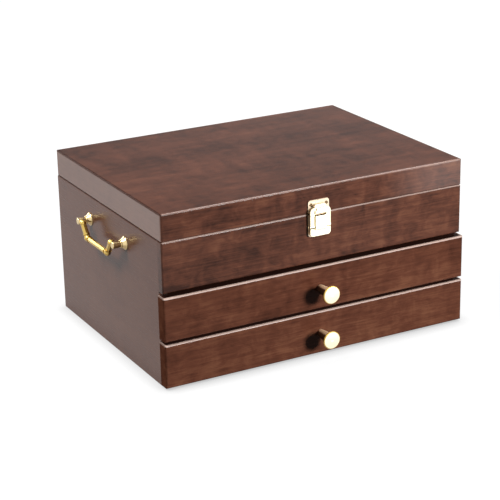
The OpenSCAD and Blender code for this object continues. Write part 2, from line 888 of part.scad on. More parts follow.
// Loop: a frame with round shoulders whose bar sits on the catch's nose
module latch_loop() {
    low = loop_out - loop_t / 2;
    bar_half_w = window_head_half_w + loop_bar_side;
    foot_room_top = nose_foot_top + loop_gap;
    bar_high = bar_low + loop_bar_h;
    color(brass_color)
    at_latch()
        difference() {
            union() {
                along_z(low, low + loop_t) {
                    eased_rect([-loop_half_w, -loop_pivot_drop], [loop_half_w, shoulder_top],
                               [0, 0, shoulder_r, shoulder_r]);
                    eased_rect([-bar_half_w, 0], [bar_half_w, bar_high],
                               [0, 0, loop_bar_side, loop_bar_side]);
                }
                for (side = [0, 1])
                    mirror([side, 0, 0]) translate([0, -loop_pivot_drop, loop_out])
                        rod_x(window_half_w, loop_half_w, loop_eye_r);
            }
            along_z(loop_out - loop_eye_d, loop_out + loop_eye_d) {
                translate([-window_half_w, -loop_pivot_drop - loop_eye_d])
                    square([2 * window_half_w, loop_pivot_drop + loop_eye_d + foot_room_top]);
                translate([-window_head_half_w, 0]) square([2 * window_head_half_w, bar_low]);
            }
            translate([0, -loop_pivot_drop, loop_out])
                rod_x(-latch_w, latch_w, latch_pin_r + pin_room);
        }
}

// Coned washer under each post of a handle
module handle_rosettes(side) {
    rim_r = rosette_d / 2;
    color(brass_color)
    at_posts(side)
        difference() {
            rotate_extrude() {
                eased_rect([0, 0], [rim_r, rosette_rim_t], [0, 0, rosette_rim_t / 2, 0]);
                polygon([
                    [0, rosette_rim_t / 2], [rim_r - rosette_shoulder, rosette_rim_t / 2],
                    [rim_r - rosette_shoulder, rosette_rim_t], [post_ring_d / 2, rosette_t], [0, rosette_t]
                ]);
            }
            translate([0, 0, -over])
                cylinder(h = rosette_t + 2 * over, r = machine_screw_d / 2 + screw_room);
        }
}

// Turned posts: a ringed neck and a drum head bored for the bail's pin
module handle_posts(side) {
    head_low = post_len - post_head_l;
    bore_end = bail_pin_l - post_head_r - bail_end_gap + screw_room;
    color(brass_color)
    at_posts(side)
        difference() {
            rotate_extrude() {
                translate([0, rosette_t]) square([post_d / 2, post_len - rosette_t]);
                eased_rect([0, rosette_t], [post_ring_d / 2, rosette_t + post_ring_t],
                           [0, 0, post_ring_t / 2, 0]);
                eased_rect([0, head_low], [post_head_r, post_len + post_head_l],
                           [0, post_ease / 2, post_ease, 0]);
            }
            translate([0, 0, rosette_t - over])
                cylinder(h = handle_screw_reach + screw_room - rosette_t + over,
                         r = machine_screw_d / 2 + screw_room);
            translate([0, 0, post_len]) rod_x(-post_head_d, bore_end, bail_pin_r + pin_room);
        }
}

module handle_screws(side) {
    color(brass_color)
    at_posts(side) translate([0, 0, -side_t]) machine_screw(side_t + handle_screw_reach);
}

// Bail: faceted bar and slanting legs, a ringed ball at each bend and a pivot pin at each end
module bail(side) {
    bar_half = bail_bar_l / 2;
    leg_run = bail_end_x - bail_boss_l - bar_half;
    leg_l = sqrt(leg_run * leg_run + bail_drop * bail_drop);
    leg_deg = atan2(bail_drop, leg_run);
    across = bail_t / cos(180 / facets);
    color(brass_color)
    at_side(side) translate([0, 0, post_len])
        union() {
            translate([-bar_half, -bail_drop, 0]) rotate([0, 90, 0]) rotate(180 / facets)
                cylinder(h = bail_bar_l, d = across, $fn = facets);
            for (end = [0, 1])
                mirror([end, 0, 0]) {
                    translate([bar_half, -bail_drop, 0]) {
                        rotate([0, 90, 0]) sphere(bail_ball_r);
                        rotate([0, 90, leg_deg]) rotate(180 / facets)
                            cylinder(h = leg_l, d = across, $fn = facets);
                        rod_x(-bail_ball_r - collar_t, -bail_ball_r, collar_r);
                        rotate(leg_deg) rod_x(bail_ball_r, bail_ball_r + collar_t, collar_r);
                    }
                    translate([bail_end_x - bail_boss_l, 0, 0]) {
                        rotate([0, 90, 0]) sphere(bail_ball_r);
                        rod_x(0, bail_boss_l, bail_boss_r);
                        rod_x(0, bail_boss_l + bail_pin_l, bail_pin_r);
                    }
                }
        }
}

module left_bail() {
    bail(-1);
}

module right_bail() {
    bail(1);
}

// Overlay front of a drawer with housings for its sides and bottom
module drawer_front(level) {
    low = [front_face_y, front_low_z];
    high = [front_back_y, front_low_z + front_h];
    color(wood_color)
    at_drawer(level)
        difference() {
            intersection() {
                along_x(-front_half_w, front_half_w) eased_rect(low, high, [edge_r, 0, 0, edge_r]);
                along_z(front_low_z, front_low_z + front_h)
                    eased_rect([-front_half_w, front_face_y], [front_half_w, front_back_y],
                               [edge_r, edge_r, 0, 0]);
            }
            for (side = [0, 1])
                mirror([side, 0, 0])
                    block([drawer_inner_half_w, front_back_y - groove, drawer_under_gap],
                          [drawer_half_w, front_back_y + over, drawer_side_top]);
            block([-drawer_inner_half_w - groove, front_back_y - groove, drawer_floor_z],
                  [drawer_inner_half_w + groove, front_back_y + over, drawer_inner_z]);
            translate([0, front_back_y + over, knob_z]) rotate([90, 0, 0])
                cylinder(h = drawer_front_t + 2 * over, r = machine_screw_d / 2 + screw_room);
        }
}

// Left side of a drawer, grooved for the bottom and rebated for the back
module drawer_left_side(level) {
    inner_x = -drawer_inner_half_w;
    color(inner_wood_color)
    at_drawer(level)
        difference() {
            block([-drawer_half_w, front_back_y - groove, drawer_under_gap],
                  [inner_x, drawer_rear_y, drawer_side_top]);
            block([inner_x - groove, front_back_y - groove - over, drawer_floor_z],
                  [inner_x + over, drawer_rear_y + over, drawer_inner_z]);
            block([inner_x - groove, drawer_back_y, drawer_inner_z - over],
                  [inner_x + over, drawer_rear_y + over, drawer_side_top + over]);
        }
}

module drawer_right_side(level) {
    mirror([1, 0, 0]) drawer_left_side(level);
}

// Back of a drawer, taller than its sides so that it meets the stop strip
module drawer_back(level) {
    x = drawer_inner_half_w + groove;
    color(inner_wood_color)
    at_drawer(level)
        block([-x, drawer_back_y, drawer_inner_z], [x, drawer_rear_y, bay_h - drawer_back_top_gap]);
}

module drawer_bottom(level) {
    x = drawer_inner_half_w + groove;
    color(inner_wood_color)
    at_drawer(level)
        block([-x, front_back_y - groove, drawer_floor_z], [x, drawer_rear_y, drawer_inner_z]);
}

module drawer_liner(level) {
    x = drawer_inner_half_w - felt_gap;
    color(felt_color)
    at_drawer(level)
        block([-x, front_back_y + felt_gap, drawer_inner_z],
              [x, drawer_back_y - felt_gap, drawer_inner_z + felt_t]);
}

// Board that parts a drawer, side -1 left or 1 right
module drawer_divider(level, side) {
    low = drawer_inner_z + felt_t;
    color(inner_wood_color)
    at_drawer(level) translate([side * divider_x, 0, 0])
        along_y(front_back_y, drawer_back_y)
            eased_rect([-divider_t / 2, low], [divider_t / 2, low + divider_h],
                       [0, 0, edge_r / 2, edge_r / 2]);
}

// Turned knob: a stem that widens towards a shallow domed face
module drawer_knob(level) {
    rim_r = knob_d / 2;
    rim_low = knob_len - knob_dome - knob_rim_t;
    neck_top = rim_low + knob_rim_t / 2;
    dome_r = (rim_r * rim_r + knob_dome * knob_dome) / (2 * knob_dome);
    rim_round = knob_rim_t * knob_rim_share;
    color(brass_color)
    at_drawer(level) translate([0, front_face_y, knob_z]) rotate([90, 0, 0])
        difference() {
            union() {
                rotate_extrude() {
                    polygon([[0, 0], [knob_stem_d / 2, 0], [knob_neck_d / 2, neck_top], [0, neck_top]]);
                    eased_rect([0, rim_low], [rim_r, rim_low + knob_rim_t], [0, rim_round, rim_round, 0]);
                }
                intersection() {
                    translate([0, 0, knob_len - dome_r]) sphere(dome_r, $fn = 128);
                    translate([0, 0, rim_low + knob_rim_t / 2])
                        cylinder(h = knob_len, r = rim_r - rim_round);
                }
            }
            translate([0, 0, -over])
                cylinder(h = machine_screw_grip + screw_room + over, r = machine_screw_d / 2 + screw_room);
        }
}

module drawer_knob_screw(level) {
    color(brass_color)
    at_drawer(level) translate([0, front_back_y, knob_z]) rotate([90, 0, 0])
        machine_screw(drawer_front_t + machine_screw_grip);
}

left_side_panel();
right_side_panel();
back_panel();
upper_front_panel();
tray_floor();
drawer_shelf();
base_panel();
drawer_stops();
tray_liner();
front_rack();
rear_rack();
hinge_case_leaves();
hinge_pins();
hinge_case_screws();
latch_base();
latch_base_screws();
lever_pin();
handle_rosettes(-1);  // left_handle_rosettes
handle_posts(-1);  // left_handle_posts
handle_screws(-1);  // left_handle_screws
handle_rosettes(1);  // right_handle_rosettes
handle_posts(1);  // right_handle_posts
handle_screws(1);  // right_handle_screws
lid_top();
lid_front_rail();
lid_back_rail();
lid_left_rail();
lid_right_rail();
lid_liner();
hinge_lid_leaves();
hinge_lid_screws();
catch_plate();
catch_screws();
left_bail();
right_bail();
latch_lever();
loop_pin();
latch_loop();
drawer_front(1);  // upper_drawer_front
drawer_left_side(1);  // upper_drawer_left_side
drawer_right_side(1);  // upper_drawer_right_side
drawer_back(1);  // upper_drawer_back
drawer_bottom(1);  // upper_drawer_bottom
drawer_liner(1);  // upper_drawer_liner
drawer_divider(1, -1);  // upper_drawer_left_divider
drawer_divider(1, 1);  // upper_drawer_right_divider
drawer_knob(1);  // upper_drawer_knob
drawer_knob_screw(1);  // upper_drawer_knob_screw
drawer_front(0);  // lower_drawer_front
drawer_left_side(0);  // lower_drawer_left_side
drawer_right_side(0);  // lower_drawer_right_side
drawer_back(0);  // lower_drawer_back
drawer_bottom(0);  // lower_drawer_bottom
drawer_liner(0);  // lower_drawer_liner
drawer_divider(0, -1);  // lower_drawer_left_divider
drawer_divider(0, 1);  // lower_drawer_right_divider
drawer_knob(0);  // lower_drawer_knob
drawer_knob_screw(0);  // lower_drawer_knob_screw
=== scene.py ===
"""Silverware chest: finishes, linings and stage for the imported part, in its own frame and in metres."""

import math
from functools import reduce
from operator import add
from typing import NamedTuple

import bmesh
import bpy
from bpy.props import FloatProperty, FloatVectorProperty, PointerProperty
from mathutils import Matrix, Vector, noise


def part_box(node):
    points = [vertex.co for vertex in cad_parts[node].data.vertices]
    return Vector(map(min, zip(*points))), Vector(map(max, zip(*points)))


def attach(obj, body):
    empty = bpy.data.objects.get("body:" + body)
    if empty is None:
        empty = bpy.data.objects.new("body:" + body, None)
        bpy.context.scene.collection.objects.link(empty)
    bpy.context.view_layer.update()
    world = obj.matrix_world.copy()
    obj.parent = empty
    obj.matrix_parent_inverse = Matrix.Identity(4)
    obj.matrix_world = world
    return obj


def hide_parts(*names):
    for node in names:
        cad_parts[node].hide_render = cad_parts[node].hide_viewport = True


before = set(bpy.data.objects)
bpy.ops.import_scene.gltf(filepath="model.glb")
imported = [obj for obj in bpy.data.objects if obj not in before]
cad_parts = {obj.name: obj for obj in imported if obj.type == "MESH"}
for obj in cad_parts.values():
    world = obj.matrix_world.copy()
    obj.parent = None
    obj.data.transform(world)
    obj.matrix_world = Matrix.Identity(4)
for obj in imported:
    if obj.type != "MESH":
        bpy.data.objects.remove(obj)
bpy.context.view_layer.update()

bl_info = {
    "name": "Silverware Chest",
    "version": (1, 0, 0),
    "blender": (4, 5, 0),
    "location": "3D View > Sidebar > Chest",
    "description": "Finishes the chest's packed frame in stained wood, brass and felt",
    "category": "Object",
}


class Board(NamedTuple):
    """How one outer board is cut from the log and finished."""

    along: str  # axis of the grain
    start: float  # place in the log
    tone: float  # how much lighter than the middle stain
    contrast: float  # strength of the grain
    sheen: float  # gloss of the lacquer
    satin: float  # roughness of the lacquer


class Polish(NamedTuple):
    """A brighter polish towards one end of a board."""

    axis: str
    begins: float
    full: float
    weight: float


class Layer(NamedTuple):
    """One layer of noise, in cells a metre along each axis, and its weight among others."""

    cells: tuple
    detail: float = 2.0
    roughness: float = 0.5
    distortion: float = 0.0
    weight: float = 1.0


# Nodes by finish
DRAWERS = ("upper_drawer", "lower_drawer")
OUTER_BOARDS = {
    "lid_top": Board("X", 15.29, -0.16, 0.95, 0.36, 0.30),
    "lid_front_rail": Board("X", 1.17, -0.09, 1.3, 0.12, 0.22),
    "lid_back_rail": Board("X", 2.43, 0.0, 1.0, 0.30, 0.22),
    "lid_left_rail": Board("Y", 3.95, 0.22, 0.35, 0.43, 0.24),
    "lid_right_rail": Board("Y", 4.29, 0.0, 0.8, 0.30, 0.24),
    "left_side_panel": Board("Y", 5.60, 0.09, 0.35, 0.21, 0.26),
    "right_side_panel": Board("Y", 6.37, 0.0, 0.8, 0.30, 0.24),
    "back_panel": Board("X", 7.61, 0.0, 1.0, 0.30, 0.22),
    "upper_front_panel": Board("X", 8.13, -0.05, 1.3, 0.15, 0.22),
    "upper_drawer_front": Board("X", 11.69, -0.01, 0.95, 0.045, 0.22),
    "lower_drawer_front": Board("X", 11.33, 0.035, 0.95, 0.045, 0.22),
}
POLISHED = {
    "lid_front_rail": Polish("X", 0.07, 0.16, 0.5),
    "lid_left_rail": Polish("Y", 0.14, -0.14, 0.25),
}
INNER_ALONG_X = (
    "tray_floor", "drawer_shelf", "base_panel", "drawer_stops", "upper_drawer_back", "lower_drawer_back",
    "upper_drawer_bottom", "lower_drawer_bottom",
)
INNER_ALONG_Y = tuple(
    f"{drawer}_{wall}" for drawer in DRAWERS
    for wall in ("left_side", "right_side", "left_divider", "right_divider")
)
RACKS = ("front_rack", "rear_rack")
# Places in the log of the wood inside
INNER_X_START, INNER_Y_START, RACK_START = 12.7, 14.3, 17.9
BAILS = ("left_bail", "right_bail")
POSTS = tuple(
    f"{side}_handle_{piece}" for side in ("left", "right") for piece in ("rosettes", "posts", "screws"))
LATCH = ("latch_lever", "lever_pin", "loop_pin", "latch_loop")
LATCH_PLATES = ("catch_plate", "latch_base")
LATCH_SCREWS = ("catch_screws", "latch_base_screws")
HINGES = ("hinge_case_leaves", "hinge_lid_leaves", "hinge_pins", "hinge_case_screws", "hinge_lid_screws")
# Felt: the node it stands for, its body and what it lies on
FELTS = (
    ("tray_liner", "case", "tray_floor"),
    ("upper_drawer_liner", "upper_drawer", "upper_drawer_bottom"),
    ("lower_drawer_liner", "lower_drawer", "lower_drawer_bottom"),
)

WHITE = (1.0, 1.0, 1.0)
BLACK = (0.0, 0.0, 0.0)
NOISE_MIDDLE = 0.5
OCCLUSION_SAMPLES = 8

# Grain of the outer boards, along X; the weights make up the shade of the stain
GRAIN = {
    "cloud": Layer((3.5, 11.0, 11.0), 2.0, 0.5, 0.3, 0.5),
    "figure": Layer((2.4, 34.0, 34.0), 3.0, 0.55, 0.15, 0.5),
    "streak": Layer((8.0, 170.0, 170.0), 4.0, 0.62, 0.1, 0.42),
    "line": Layer((26.0, 560.0, 560.0), 3.0, 0.65, weight=0.52),
    "curl": Layer((45.0, 9.0, 9.0), 2.0, 0.5, 0.6, 0.45),
    "mottle": Layer((55.0, 80.0, 80.0), 3.0, 0.6, 0.8, 0.6),
}
PORES = Layer((70.0, 1500.0, 1500.0), 1.0)
PORE_RISE = (0.58, 0.74)
PORE_STAIN = 0.35
DARK_SHADE = 0.12
MIDDLE_SHADE = 0.5
LIGHT_SHADE = 0.88
LOG_SLANT = (1.0, 1.7, 2.3)  # how far along each axis of the log a board's start lies

# Lacquer of the outer boards
BURNISH = 0.2  # how much the polish follows the cloudy grain
LINE_HEIGHT = 0.5  # height of the grain's fine lines, in depths of a pore
WOOD_BUMP = 0.12
LINE_ROUGHNESS = 0.06
PORE_ROUGHNESS = 0.08
OUTER_ROUGHNESS = 0.1
ARRIS_COAT = 0.3  # polish on the front arrises, under their painted highlight
OUTER_SHADE = 0.8  # how far the outer arrises are painted as a dark shade line without gloss
BARE_ROUGHNESS = 1.0
BARE_GLOSS = 0.0

# Where the masks of an arris change over, as shares of its radius
ARRIS_FADE = (0.55, 0.9)
TOP_DEPTH = (0.1, 0.3)
TOP_BACK = (0.5, 0.9)
END_DEPTH = (0.1, 0.4)

# Grain of the wood inside
INNER_FIGURE = Layer((2.0, 22.0, 22.0), 3.0, 0.55, 0.6, 1.1)
INNER_STREAK = Layer((6.0, 160.0, 160.0), 4.0, 0.6, weight=0.8)
INNER_PORES = Layer((60.0, 1300.0, 1300.0), 1.0)
INNER_PORE_RISE = (0.56, 0.72)
INNER_PORE_STAIN = 0.5
INNER_DARK_SHADE = 0.15
INNER_LIGHT_SHADE = 0.85
INNER_STREAK_HEIGHT = 0.4
INNER_BUMP = 0.5
INNER_STREAK_ROUGHNESS = 0.15
INNER_PORE_ROUGHNESS = 0.1

# Clouding and polishing lines of the brass
BRASS_CLOUD = Layer((70.0, 70.0, 70.0), 3.0, 0.6)
CLOUD_RISE = (0.35, 0.7)
CLOUDING = 0.35
CLOUD_ROUGHNESS = 0.12
EVEN_LINES = Layer((900.0, 900.0, 900.0), 2.0, 0.6)
UPRIGHT_LINES = Layer((1600.0, 1600.0, 160.0), 2.0, 0.6)
LEVEL_LINES = Layer((160.0, 1600.0, 1600.0), 2.0, 0.6)
BAIL_LINES = Layer((900.0, 120.0, 900.0), 2.0, 0.6)
SCRATCH_ROUGHNESS = 0.06
SCRATCH_BUMP = 0.3

# Where the brass carries painted highlights, deeper painted rims and painted shade, and how much
HIGHLIT_EDGE = 0.001
RIM_FULL = 0.4  # share of a knob's painted shade rim that is fully deep
FACE_EDGE = 0.0004
# Painted highlight along the tops of the knobs' stems: where it rises, and how much less metal it is
CREST_RISE = (0.6, 0.95)
CREST_LACQUER = 0.85
CORNER_RISE = (0.3, 0.75)
CORNER_SHADE = 0.8
UNDERSIDE_RISE = (0.0, 0.6)
UNDERSIDE_SHADE = 0.7
FITTING_TILT = -0.15  # upward part of a face's normal below which a fitting gets painted shade
HANDLE_TILT = 0.3  # the same for the handles

# Pile of the felt
FIBRE = Layer((1300.0, 1300.0, 1300.0), 4.0, 0.7, 1.2, 0.6)
FIBRE_RISE = (0.45, 0.8)
CLUMP = Layer((90.0, 90.0, 90.0), 3.0, 0.6, weight=0.6)
BRUSHED = Layer((14.0, 22.0, 22.0), 3.0, 0.55, 0.7, 1.3)
FELT_ROUGHNESS = 0.97
CLUMP_ROUGHNESS = 0.1
FELT_SHEEN = 0.35
FELT_SHEEN_ROUGHNESS = 0.45
FELT_GLOSS = 0.2
CLUMP_HEIGHT = 0.6
PILE_DEPTH = 0.0006
FELT_BUMP = 0.6

# Meshes of the felt and the pad: how far inside the edge their first rows lie, and the cells after those
FELT_ROWS = (0.0, 0.0002, 0.0006, 0.0012, 0.003)
FELT_CELL = 0.006
PAD_ROWS = (0.0, 0.0003, 0.0009, 0.0018, 0.0028, 0.006, 0.010)
SEWN_ROWS = (-0.0024, -0.0012, 0.0, 0.0012, 0.0024, 0.006)  # inside the sewn line
PAD_CELL = 0.003
FRACTAL = (1.0, 2.0)  # dimension of the fractal noise, and the step between its octaves
NAP_CELLS = 60
NAP_OCTAVES = 3
CROWN_REACH = 0.6  # share of the way to the middle over which the pad swells
SEWN_WIDTH = 0.0016
SEWN_DEPTH = 0.0013
SWAY_CELLS = 45
SWAY = 2.5
PUCKER_REACH = 0.008
PUCKER_PITCH = 0.014
BILLOW_CELLS = 13
BILLOW_LEVEL = 3.0
BILLOW_OCTAVES = 2
BILLOW_INSET = 0.03

# Stage: the lamps' directions and distances from where they aim, the floor, the grey card and the camera
LAMPS = {
    "key": ((0.34, -0.845, 0.24), 1.8),
    "side": ((-0.60, 0.10, 0.79), 2.6),
    "overhead": ((0.44, 0.08, 0.89), 1.4),
    "back": ((-0.25, 0.93, 0.28), 1.5),
}
LAMP_AIM = (0.0, 0.0, 0.09)
FLOOR_REACH = 6.0
FLOOR_LEVEL = -0.0002
FLOOR_WHITE = (0.3, 0.8)  # distances between which the floor goes to plain white
CARD_CORNERS = ((-1.6, 2.2, 0.12), (3.2, 1.4, 0.12), (3.2, 1.4, 2.2), (-1.6, 2.2, 2.2))
CARD_ACROSS = (0.3, 1.3)  # where the card's foot brightens
CARD_HEIGHT = (0.45, 1.15)  # where the card fades to black
SENSOR_WIDTH = 36.0  # in millimetres


def colour(name, description, default):
    """A colour property in linear light."""
    return FloatVectorProperty(name=name, description=description, subtype="COLOR", size=3,
                               min=0.0, max=1.0, default=default)


def length(name, description, default):
    """A length property in metres."""
    return FloatProperty(name=name, description=description, default=default, unit="LENGTH", precision=5)


def share(name, description, default, most=1.0):
    """A property between nothing and most."""
    return FloatProperty(name=name, description=description, default=default, min=0.0, max=most,
                         subtype="FACTOR")


def ratio(name, description, default, least, most):
    """A plain number between two limits."""
    return FloatProperty(name=name, description=description, default=default, min=least, max=most)


def angle(name, description, degrees):
    """An angle property whose default is written in degrees."""
    return FloatProperty(name=name, description=description, default=math.radians(degrees), unit="ROTATION")


def power(name, description, default):
    """A lamp's power in watts."""
    return FloatProperty(name=name, description=description, default=default, unit="POWER")


class WoodSettings(bpy.types.PropertyGroup):
    """Stain and lacquer of the outer boards, their painted edge highlights and painted shadow, and the thin
    stain inside.
    """

    dark: colour("Dark stain", "Stain in the dense late wood", (0.036, 0.0118, 0.0068))
    middle: colour("Middle stain", "Stain over most of a board", (0.108, 0.0365, 0.0205))
    light: colour("Light stain", "Stain over the pale early wood", (0.190, 0.076, 0.041))
    # Painted highlight: the pale colour along the upper edges stands for the gloss the lamps would light
    # there
    worn: colour("Worn edge", "Stain rubbed thin along the upper edges", (0.56, 0.41, 0.35))
    # Painted shadow: near-black colour on the tops of the drawer fronts, in the shaded gap under the case or
    # the drawer above
    painted_shadow: colour("Dark sealer", "Matt sealer on the tops of the drawer fronts", (0.034, 0.013, 0.009))
    inner_dark: colour("Inner dark", "Dark grain of the unlacquered wood inside", (0.095, 0.043, 0.022))
    inner_light: colour("Inner light", "Pale grain of the unlacquered wood inside", (0.24, 0.13, 0.075))
    inner_roughness: share("Inner roughness", "How matt the wood inside is", 0.55)
    index: ratio("Lacquer index", "Refractive index of the lacquer", 1.5, 1.0, 2.0)
    # This radius also sets the width of the painted highlights and painted shade along the edges
    arris: length("Arris radius", "Radius of the eased upper edges, rubbed pale by hands", 0.002)
    lip: ratio("Drawer lip", "Times its radius that a drawer front's rubbed arris reaches back",
               1.85, 0.5, 4.0)
    mitre: share("Lid arris", "Share of that radius that shows along the lid's front", 0.36)
    rim: share("Case arris", "Share of that radius that shows on the case's rim and the lid's sides", 0.8)
    # Strengths of the painted highlights along the upper edges
    wear: share("Case wear", "How pale the case's rubbed front edge is", 0.72)
    lid_highlight: share("Lid wear", "How pale the lid's rubbed front edge is", 0.42)
    drawer_highlight: share("Drawer wear", "How pale the drawers' rubbed front edges are", 0.92)
    side_highlight: share("Side wear", "How pale the rubbed upper edges at the case's sides are", 0.04)
    end_highlight: share("End wear", "How pale the rubbed upper edges at the drawer fronts' ends are", 0.45)
    edge_index: ratio("Arris index", "Refractive index of the polish on the rubbed edges", 1.8, 1.0, 2.5)
    edge_roughness: share("Arris roughness", "Roughness of the polish on the rubbed edges", 0.4)
    pore_depth: length("Pore depth", "Depth of the pores under the lacquer", 0.00018)


class BrassSettings(bpy.types.PropertyGroup):
    """Pale satin brass on the knobs, latch and hinges, yellow polished brass on the handles."""

    pale: colour("Pale brass", "Satin brass of the knobs and the latch's lever and loop", (0.97, 0.90, 0.68))
    pale_deep: colour("Pale brass, worn", "That brass where its polish is thinner", (0.88, 0.72, 0.42))
    cream: colour("Cream brass", "Satin brass of the latch's plates", (0.69, 0.57, 0.43))
    cream_deep: colour("Cream brass, worn", "That brass where its polish is thinner", (0.58, 0.42, 0.27))
    gold: colour("Gold brass", "Brass of the posts and hinges", (0.90, 0.72, 0.39))
    gold_deep: colour("Gold brass, worn", "That brass where its polish is thinner", (0.74, 0.54, 0.24))
    yellow: colour("Yellow brass", "Polished brass of the bails", (0.72, 0.51, 0.14))
    yellow_deep: colour("Yellow brass, worn", "That brass where its polish is thinner", (0.52, 0.32, 0.06))
    aged: colour("Aged brass", "Screws of the latch", (0.21, 0.145, 0.075))
    aged_deep: colour("Aged brass, worn", "That brass where its polish is thinner", (0.11, 0.07, 0.03))
    knob_metal: share("Knob metal", "Share of bare metal in the knobs' clear coated brass", 0.65)
    knob_face: length("Knob face", "Depth of the knobs' pale faces, from the tip", 0.0022)
    # Painted shade: a deeper ring round the knobs' faces, for the shade of their rounded rim
    knob_rim: length("Knob rim", "Width of the deeper ring round the knobs' faces", 0.0013)
    # Painted highlight: pale brass along the tops of the knobs' stems, where light falls
    stem: colour("Knob stem", "Deeper brass along the tops of the knobs' stems", (0.97, 0.68, 0.42))
    # Painted shade: dark brass on the knobs' stems below
    stem_shade: colour("Knob stem, under", "Tarnished brass of the knobs' stems below", (0.085, 0.036, 0.018))
    # Painted shade: dark brass in corners, in creases between parts and on undersides, where shade falls
    painted_shade: colour("Tarnish", "Dark brass in corners and on undersides", (0.16, 0.085, 0.03))
    # Painted highlight: pale brass on the parts of the latch's plates that stand furthest forward
    nose: length("Catch nose", "Depth of the latch's rubbed nose and ears, from the nose's tip", 0.003)
    # How far the painted shade spreads out of a corner
    corner: length("Tarnished corner", "How far tarnish spreads out of a corner", 0.0016)
    satin: share("Satin", "Roughness of the knobs, latch and hinges", 0.42)
    polish: share("Polish", "Roughness of the handles", 0.17)
    scratch_depth: length("Scratch depth", "Depth of the fine polishing lines", 0.00002)


class FeltSettings(bpy.types.PropertyGroup):
    """Felt in the tray and drawers, and the padded lining of the lid."""

    pile: colour("Felt", "Anti-tarnish felt", (0.058, 0.018, 0.016))
    fleck: colour("Felt fleck", "Pale fibres in the felt", (0.13, 0.05, 0.042))
    roll: length("Rolled edge", "Radius of the felt's cut edge", 0.0012)
    nap: length("Nap", "Unevenness of the felt", 0.00018)
    pad_roll: length("Pad edge", "Radius of the pad's soft edge", 0.0028)
    pad_border: length("Pad border", "Distance from the pad's edge to its sewn line", 0.016)
    pad_crown: length("Pad crown", "How much the pad swells towards its middle", 0.0011)
    pad_pucker: length("Pad pucker", "Height of the puckers along the sewn line", 0.0003)
    pad_billow: length("Pad billow", "Unevenness of the pad's filling", 0.0004)


class StageSettings(bpy.types.PropertyGroup):
    """Floor, light and camera."""

    floor: colour("Floor", "Pale floor", (0.05, 0.05, 0.05))
    veil: share("Floor shade", "How much of the shade on the floor the camera sees", 0.08)
    glow: share("Floor white", "How far the floor is lifted to white where the camera sees it", 0.94)
    contact: share("Contact shade", "How much the floor darkens where the chest meets it", 0.5)
    contact_reach: length("Contact reach", "How far the contact shade spreads", 0.018)
    sky: share("Sky", "Strength of the soft light from all round", 0.025, 2.0)
    key: power("Key light", "Power of the soft box in front", 36.3)
    key_size: length("Key size", "Side of the soft box in front", 0.34)
    side: power("Side light", "Power of the soft box at the upper left", 62.0)
    side_size: length("Side size", "Side of the soft box at the upper left", 0.95)
    overhead: power("Overhead light", "Power of the soft box overhead", 9.5)
    overhead_size: length("Overhead size", "Side of the soft box overhead", 0.5)
    back: power("Back light", "Power of the soft box behind", 9.0)
    back_size: length("Back size", "Side of the soft box behind", 0.7)
    card: share("Back card", "Brightness of the right foot of the grey card that the lid's top mirrors", 0.66)
    card_left: share("Back card's left", "Brightness of that card's left foot", 0.45)
    azimuth: angle("Azimuth", "Camera's turn round the chest, left of the front", -28.228)
    elevation: angle("Elevation", "Camera's height above the horizon", 19.946)
    roll: angle("Roll", "Camera's roll", -1.123)
    across: length("Across", "Camera's offset to its right", -0.00982)
    upward: length("Upward", "Camera's offset upwards", 0.07407)
    distance: length("Distance", "Camera's distance from the middle of the footprint", 1.93988)
    lens: FloatProperty(name="Lens", description="Focal length", default=118.122, unit="CAMERA")


class ChestSettings(bpy.types.PropertyGroup):
    """All that a user would change."""

    wood: PointerProperty(type=WoodSettings)
    brass: PointerProperty(type=BrassSettings)
    felt: PointerProperty(type=FeltSettings)
    stage: PointerProperty(type=StageSettings)


class Field:
    """A shader socket that takes part in Python expressions."""

    def __init__(self, graph, socket):
        self.graph = graph
        self.socket = socket

    def _math(self, operation, *values):
        return self.graph.node("ShaderNodeMath", {"operation": operation}, dict(enumerate(values)))

    def __add__(self, other):
        return self._math("ADD", self, other)

    __radd__ = __add__

    def __sub__(self, other):
        return self._math("SUBTRACT", self, other)

    def __rsub__(self, other):
        return self._math("SUBTRACT", other, self)

    def __mul__(self, other):
        return self._math("MULTIPLY", self, other)

    __rmul__ = __mul__

    def __truediv__(self, other):
        return self._math("DIVIDE", self, other)

    def __rtruediv__(self, other):
        return self._math("DIVIDE", other, self)

    def least(self, other):
        """The smaller of two."""
        return self._math("MINIMUM", self, other)

    def most(self, other):
        """The larger of two."""
        return self._math("MAXIMUM", self, other)

    def swing(self, weight):
        """Noise about its middle, times a weight."""
        return (self - NOISE_MIDDLE) * weight

    def rise(self, low, high):
        """0 below low, 1 above high and a smooth rise between them."""
        return self.graph.node("ShaderNodeMapRange", {"interpolation_type": "SMOOTHSTEP"},
                               {"Value": self, "From Min": low, "From Max": high})


